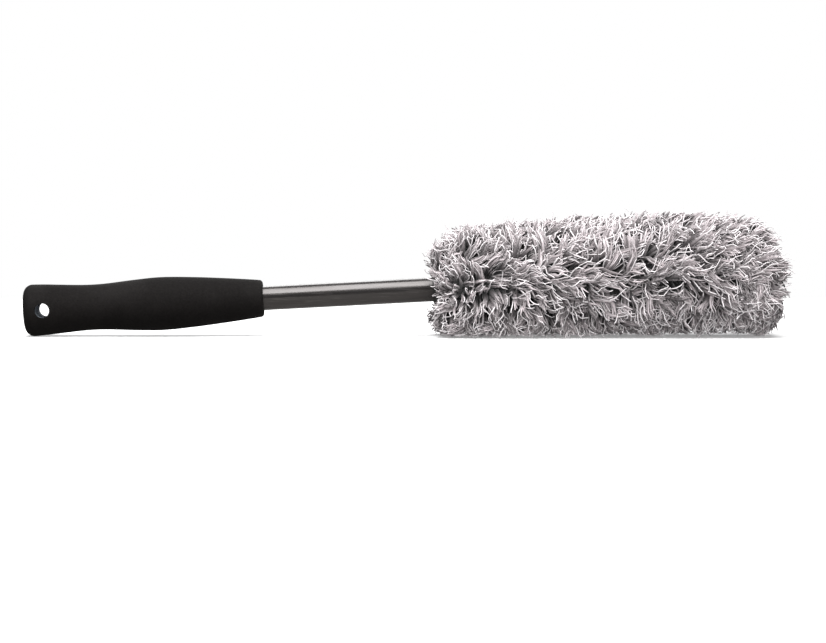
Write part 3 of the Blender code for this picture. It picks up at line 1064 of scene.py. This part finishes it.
def makePadding():
    # the foam sleeve and the pads behind the end panels
    foam = openFoam()
    skin = coverForm["cloth"] + coverForm["clear"]
    core = radiusOf("core_spindle") + coverForm["clear"]
    cap = radiusOf("core_tip_cap") + coverForm["clear"]
    capStart = station("core_tip_cap")[0] - coverForm["clear"]

    def side(start, end, count=paddingForm["steps"]):
        places = [start + (end - start) * step / count for step in range(count + 1)]
        return [(skinRadius(along, skin), along) for along in places]

    start, end = station("foam_sleeve")
    rounded = paddingForm["roundedEnd"]
    profile = (side(start, start + rounded) + side(end - rounded, end)
               + [(cap, end), (cap, capStart), (core, capStart), (core, start)])
    sleeve = turned("foamSleeve", profile, closed=True)
    start, end = station("neck_pad")
    hole = coverForm["neckHole"]
    profile = side(start, end, paddingForm["neckSteps"]) + [(hole, end), (hole, start)]
    neckPad = turned("neckPad", profile, closed=True)
    start, end = station("tip_pad")
    tipPad = turned("tipPad", [(0.0, start)] + side(start, end) + [(0.0, end)])
    for pad, node in ((sleeve, "foam_sleeve"), (neckPad, "neck_pad"), (tipPad, "tip_pad")):
        dressed(pad, foam)
        settled(pad, "padding_foam", node)


stitchForm = {"Spacing": 0.0024, "Length": 0.0027, "Rise": 0.0004, "Thickness": 0.00022,
              "Slant": 0.35}


def stitchTree(settings):
    # stitches along a line that carries the way out of the cloth
    net, given = newTree("stitches", settings)
    line = net.add("GeometryNodeMeshToCurve", Mesh=given["Geometry"])
    points = net.node("GeometryNodeCurveToPoints", {"mode": "LENGTH"}, Curve=line,
                      Length=given["Spacing"])
    half = given["Length"] * 0.5
    ends = [net.add("ShaderNodeCombineXYZ", X=along, Y=half * given["Slant"] * way, Z=0.0)
            for along, way in ((half * -1.0, -1.0), (half, 1.0))]
    top = net.add("ShaderNodeCombineXYZ", X=0.0, Y=0.0, Z=given["Rise"] * 2.0)
    arch = net.add("GeometryNodeCurveQuadraticBezier", Resolution=6, Start=ends[0], Middle=top,
                   End=ends[1])
    ring = net.add("GeometryNodeCurvePrimitiveCircle", Resolution=6, Radius=given["Thickness"])
    stitch = net.add("GeometryNodeCurveToMesh", Curve=arch, Profile_Curve=ring, Fill_Caps=True)
    facing = net.add("FunctionNodeAxesToRotation",
                     {"primary_axis": "Z", "secondary_axis": "X"},
                     Primary_Axis=readNamed(net, "away", "FLOAT_VECTOR"),
                     Secondary_Axis=Wire(net, points.outputs["Tangent"]))
    made = net.add("GeometryNodeInstanceOnPoints", Points=Wire(net, points.outputs["Points"]),
                   Instance=stitch, Rotation=facing)
    return finished(net, made, given["Material"])


def seamLine(name, spots, aways, ring):
    mesh = bpy.data.meshes.new(name)
    edges = [(index, index + 1) for index in range(len(spots) - 1)]
    if ring:
        edges.append((len(spots) - 1, 0))
    mesh.from_pydata(spots, edges, [])
    storeVectors(mesh, "away", aways)
    return newObject(name, mesh)


seamForm = {"ringSteps": 96, "bodySteps": 60, "proud": 0.6}     # in stitch thicknesses


def makeSeams():
    settings = {**stitchForm, "Material": twisted("seamThread")}
    tree = stitchTree(settings)
    above = stitchForm["Thickness"] * seamForm["proud"]
    turnAway = brush.to_3x3()

    def sewn(name, node, spots, aways, ring):
        seam = grown(name, seamLine(f"{name}Line", spots, aways, ring), tree, settings)
        settled(smoothed(seam, 60), "seam_thread", node)

    seam = coverForm["seamAngle"]
    lean = math.radians(seam)
    steps = seamForm["ringSteps"]
    for towards, name, node in ((-1, "neckSeam", "neck_seam"), (1, "tipSeam", "tip_seam")):
        radius, along = roundedPart(-above, towards, seam, seam, 1)[0]
        spots, aways = [], []
        for step in range(steps):
            angle = 2 * math.pi * step / steps
            out = Vector((math.cos(angle), math.sin(angle), 0.0))
            spots.append(brush @ (out * radius + Vector((0.0, 0.0, along))))
            aways.append(turnAway @ (out * math.cos(lean)
                                     + Vector((0.0, 0.0, towards * math.sin(lean)))))
        sewn(name, node, spots, aways, True)
    start = coverStart + coverForm["rounding"]
    length = coverEnd - coverStart - 2 * coverForm["rounding"]
    steps = seamForm["bodySteps"]
    spots = [brush @ Vector((coverRadius + above, 0.0, start + length * step / steps))
             for step in range(steps + 1)]
    aways = [turnAway @ Vector((1.0, 0.0, 0.0))] * len(spots)
    sewn("bodySeam", "body_seam", spots, aways, False)


def dressKept():
    # CAD nodes whose shape is right stay, and only get better materials
    core = moulded("corePlastic")
    finishes = {"core_spindle": core, "core_tip_cap": moulded("capRubber"),
                "shaft_pin": turnedSteel(), "tube_end_plug": moulded("plugPlastic")}
    for node, material in finishes.items():
        for holder in nodes[node].material_slots:
            holder.material = material


makeGrip()
makeShaft()
makeCollar()
makeTie()
makeCover()
makePadding()
makeSeams()
dressKept()
print("stage: grip, shaft, collar, cover and padding made")


view = {
    "target": (0.004, 0.0, 0.0073),
    "distance": 1.8,
    "elevation": 2.5,       # degrees above level
    "lens": 157.0,          # mm, on a sensor 36 mm wide
}
softboxes = {
    # power, size, place, and whether gloss mirrors it: the tube shows the key as one band
    "key": (18.8, (0.95, 0.90), (-0.03, -0.32, 0.87), True),
    "fill": (10.0, (1.3, 0.3), (0.10, -1.15, 0.16), False),
    "back": (6.5, (1.2, 0.6), (0.1, 0.85, 0.55), True),
}
studio = {
    "surround": 0.10,       # grey light from all round
    "backdrop": 1.0,        # what the camera sees behind the brush
    "floor": (0.88, 0.88, 0.88),
    "floorReach": (0.9, 1.2, 0.5),      # to the sides, towards the camera and behind
    "floorInGloss": (0.19, 0.18, 0.17),     # how dark the gloss on the tube mirrors it
    "floorGlow": 0.25,
}


def aimed(thing, place, target):
    thing.location = place
    way = Vector(target) - Vector(place)
    thing.rotation_euler = way.to_track_quat("-Z", "Y").to_euler()


def makeLights():
    for name, (power, size, place, mirrored) in softboxes.items():
        lamp = bpy.data.lights.new(name, "AREA")
        lamp.shape = "RECTANGLE"
        lamp.size, lamp.size_y = size
        lamp.energy = power
        holder = newObject(name, lamp)
        holder.visible_glossy = mirrored
        aimed(holder, place, view["target"])


def makeStage():
    # a pale floor under the brush, and a white surround
    mesh = bpy.data.meshes.new("floor")
    wide, near, far = studio["floorReach"]
    mesh.from_pydata([(-wide, -near, 0), (wide, -near, 0), (wide, far, 0), (-wide, far, 0)],
                     [], [(0, 1, 2, 3)])
    floor = newObject("floor", mesh)
    material, net, spot = newMaterial("paleFloor", Specular_IOR_Level=0.1,
                                      Emission_Color=(1.0, 1.0, 1.0),
                                      Emission_Strength=studio["floorGlow"])
    cloud = grain(net, spot, 2.0, 3.0)
    tone = net.blend(cloud * 0.04, studio["floor"], (1.0, 1.0, 1.0))
    mirrored = net.add("ShaderNodeLightPath", out="Is Glossy Ray")
    looks(net, Base_Color=net.blend(mirrored, tone, studio["floorInGloss"]),
          Roughness=0.85 + cloud * 0.1)
    dressed(floor, material)
    floor.visible_diffuse = False       # it stays pale without lighting the brush from below

    world = bpy.data.worlds.new("studio")
    world.use_nodes = True
    net = Net(world.node_tree)
    background = world.node_tree.nodes["Background"]
    seen = net.add("ShaderNodeLightPath", out="Is Camera Ray")
    level = studio["surround"] + seen * (studio["backdrop"] - studio["surround"])
    net.plug(background.inputs["Strength"], level)
    net.plug(background.inputs["Color"], (1.0, 1.0, 1.0))
    bpy.context.scene.world = world


def makeCamera():
    camera = newObject("camera", bpy.data.cameras.new("camera"))
    camera.data.sensor_width = 36.0
    camera.data.lens = view["lens"]
    lean = math.radians(view["elevation"])
    target = Vector(view["target"])
    place = target + Vector((0.0, -math.cos(lean), math.sin(lean))) * view["distance"]
    aimed(camera, place, target)
    bpy.context.scene.camera = camera


makeStage()
makeCamera()
makeLights()
bpy.context.scene.view_settings.view_transform = "Standard"
print("stage: floor, camera and lights made")
